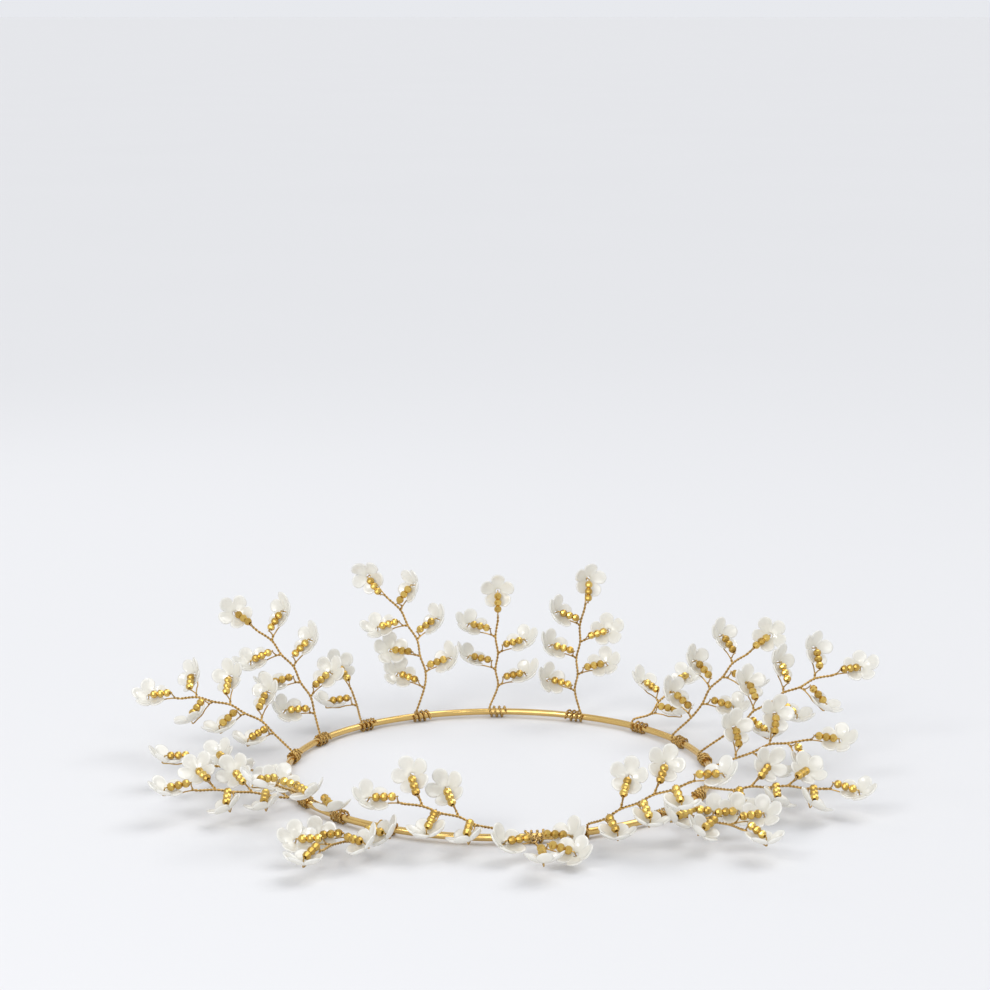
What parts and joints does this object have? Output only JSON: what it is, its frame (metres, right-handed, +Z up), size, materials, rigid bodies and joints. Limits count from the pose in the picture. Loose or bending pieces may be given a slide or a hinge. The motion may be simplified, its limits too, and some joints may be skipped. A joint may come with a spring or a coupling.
{
  "type": "candle ring",
  "caption": "Wreath of beaded wire sprays wound on a gold wire hoop, with pearl-white blossoms and gold seed beads, that lies round the foot of a candle holder",
  "frame": {"origin": "centre of the hoop, on the table it lies on", "axes": "+Z up; -Y is the front, the side that the picture shows; +X is to the right seen from the front"},
  "size_m": [0.2202, 0.1713, 0.05],
  "materials": {
    "polished_gold_hoop": "polished gold plate",
    "gold_twisted_wire": "soft antique gold, two twisted strands",
    "gold_seed_beads": "polished gold",
    "pearl_petals": "translucent pearl white with fine ribs"
  },
  "bodies": {
    "hoop": {"hoop": "polished_gold_hoop"},
    "spray_left": {"stem_left": "gold_twisted_wire", "blossoms_left": "pearl_petals", "beads_left": "gold_seed_beads"},
    "spray_left_low": {"stem_left_low": "gold_twisted_wire", "blossoms_left_low": "pearl_petals", "beads_left_low": "gold_seed_beads"},
    "spray_left_high": {"stem_left_high": "gold_twisted_wire", "blossoms_left_high": "pearl_petals", "beads_left_high": "gold_seed_beads"},
    "spray_back_left_low": {"stem_back_left_low": "gold_twisted_wire", "blossoms_back_left_low": "pearl_petals", "beads_back_left_low": "gold_seed_beads"},
    "spray_back_left": {"stem_back_left": "gold_twisted_wire", "blossoms_back_left": "pearl_petals", "beads_back_left": "gold_seed_beads"},
    "spray_back": {"stem_back": "gold_twisted_wire", "blossoms_back": "pearl_petals", "beads_back": "gold_seed_beads"},
    "spray_back_right": {"stem_back_right": "gold_twisted_wire", "blossoms_back_right": "pearl_petals", "beads_back_right": "gold_seed_beads"},
    "spray_back_low": {"stem_back_low": "gold_twisted_wire", "blossoms_back_low": "pearl_petals", "beads_back_low": "gold_seed_beads"},
    "spray_right_high": {"stem_right_high": "gold_twisted_wire", "blossoms_right_high": "pearl_petals", "beads_right_high": "gold_seed_beads"},
    "spray_right_far": {"stem_right_far": "gold_twisted_wire", "blossoms_right_far": "pearl_petals", "beads_right_far": "gold_seed_beads"},
    "spray_right_mid": {"stem_right_mid": "gold_twisted_wire", "blossoms_right_mid": "pearl_petals", "beads_right_mid": "gold_seed_beads"},
    "spray_right_low": {"stem_right_low": "gold_twisted_wire", "blossoms_right_low": "pearl_petals", "beads_right_low": "gold_seed_beads"},
    "spray_front_right": {"stem_front_right": "gold_twisted_wire", "blossoms_front_right": "pearl_petals", "beads_front_right": "gold_seed_beads"},
    "spray_front_rim": {"stem_front_rim": "gold_twisted_wire", "blossoms_front_rim": "pearl_petals", "beads_front_rim": "gold_seed_beads"},
    "spray_front": {"stem_front": "gold_twisted_wire", "blossoms_front": "pearl_petals", "beads_front": "gold_seed_beads"},
    "spray_front_left": {"stem_front_left": "gold_twisted_wire", "blossoms_front_left": "pearl_petals", "beads_front_left": "gold_seed_beads"},
    "spray_front_low": {"stem_front_low": "gold_twisted_wire", "blossoms_front_low": "pearl_petals", "beads_front_low": "gold_seed_beads"},
    "spray_left_rim": {"stem_left_rim": "gold_twisted_wire", "blossoms_left_rim": "pearl_petals", "beads_left_rim": "gold_seed_beads"},
    "spray_left_front": {"stem_left_front": "gold_twisted_wire", "blossoms_left_front": "pearl_petals", "beads_left_front": "gold_seed_beads"}
  },
  "joints": [
    {"name": "bend_left", "type": "hinge", "parent": "hoop", "child": "spray_left", "pos_m": [-0.05967, 0.01268, 0.00182], "axis": [0.2079, 0.9781, 0], "range_deg": [-12, 20]},
    {"name": "bend_left_low", "type": "hinge", "parent": "hoop", "child": "spray_left_low", "pos_m": [-0.06055, -0.00743, 0.00182], "axis": [-0.1219, 0.9925, 0], "range_deg": [-6, 12]},
    {"name": "bend_left_high", "type": "hinge", "parent": "hoop", "child": "spray_left_high", "pos_m": [-0.05283, 0.0305, 0.00182], "axis": [0.5, 0.866, 0], "range_deg": [-15, 10]},
    {"name": "bend_back_left_low", "type": "hinge", "parent": "hoop", "child": "spray_back_left_low", "pos_m": [-0.04002, 0.04604, 0.00182], "axis": [0.7547, 0.6561, 0], "range_deg": [-15, 20]},
    {"name": "bend_back_left", "type": "hinge", "parent": "hoop", "child": "spray_back_left", "pos_m": [-0.02383, 0.05615, 0.00182], "axis": [0.9205, 0.3907, 0], "range_deg": [-20, 12]},
    {"name": "bend_back", "type": "hinge", "parent": "hoop", "child": "spray_back", "pos_m": [0, 0.061, 0.00182], "axis": [1, 0, 0], "range_deg": [-20, 20]},
    {"name": "bend_back_right", "type": "hinge", "parent": "hoop", "child": "spray_back_right", "pos_m": [0.02383, 0.05615, 0.00182], "axis": [0.9205, -0.3907, 0], "range_deg": [-20, 10]},
    {"name": "bend_back_low", "type": "hinge", "parent": "hoop", "child": "spray_back_low", "pos_m": [0.04313, 0.04313, 0.00182], "axis": [0.7071, -0.7071, 0], "range_deg": [-15, 15]},
    {"name": "bend_right_high", "type": "hinge", "parent": "hoop", "child": "spray_right_high", "pos_m": [0.05435, 0.02769, 0.00182], "axis": [0.454, -0.891, 0], "range_deg": [-15, 12]},
    {"name": "bend_right_far", "type": "hinge", "parent": "hoop", "child": "spray_right_far", "pos_m": [0.06025, 0.00954, 0.00182], "axis": [0.1564, -0.9877, 0], "range_deg": [-12, 16]},
    {"name": "bend_right_mid", "type": "hinge", "parent": "hoop", "child": "spray_right_mid", "pos_m": [0.06055, -0.00743, 0.00182], "axis": [-0.1219, -0.9925, 0], "range_deg": [-8, 10]},
    {"name": "bend_right_low", "type": "hinge", "parent": "hoop", "child": "spray_right_low", "pos_m": [0.05573, -0.02481, 0.00182], "axis": [-0.4067, -0.9135, 0], "range_deg": [-2, 14]},
    {"name": "bend_front_right", "type": "hinge", "parent": "hoop", "child": "spray_front_right", "pos_m": [0.04461, -0.0416, 0.00182], "axis": [-0.682, -0.7314, 0], "range_deg": [-4, 5]},
    {"name": "bend_front_rim", "type": "hinge", "parent": "hoop", "child": "spray_front_rim", "pos_m": [0.02186, -0.05695, 0.00182], "axis": [-0.9336, -0.3584, 0], "range_deg": [-5, 14]},
    {"name": "bend_front", "type": "hinge", "parent": "hoop", "child": "spray_front", "pos_m": [0.00954, -0.06025, 0.00182], "axis": [-0.9877, -0.1564, 0], "range_deg": [-2, 12]},
    {"name": "bend_front_left", "type": "hinge", "parent": "hoop", "child": "spray_front_left", "pos_m": [0.00213, -0.06096, 0.00182], "axis": [-0.9994, -0.0349, 0], "range_deg": [-4, 14]},
    {"name": "bend_front_low", "type": "hinge", "parent": "hoop", "child": "spray_front_low", "pos_m": [-0.02957, -0.05335, 0.00182], "axis": [-0.8746, 0.4848, 0], "range_deg": [-1, 5]},
    {"name": "bend_left_rim", "type": "hinge", "parent": "hoop", "child": "spray_left_rim", "pos_m": [-0.04313, -0.04313, 0.00182], "axis": [-0.7071, 0.7071, 0], "range_deg": [-5, 9]},
    {"name": "bend_left_front", "type": "hinge", "parent": "hoop", "child": "spray_left_front", "pos_m": [-0.05335, -0.02957, 0.00182], "axis": [-0.4848, 0.8746, 0], "range_deg": [-4, 7]}
  ]
}
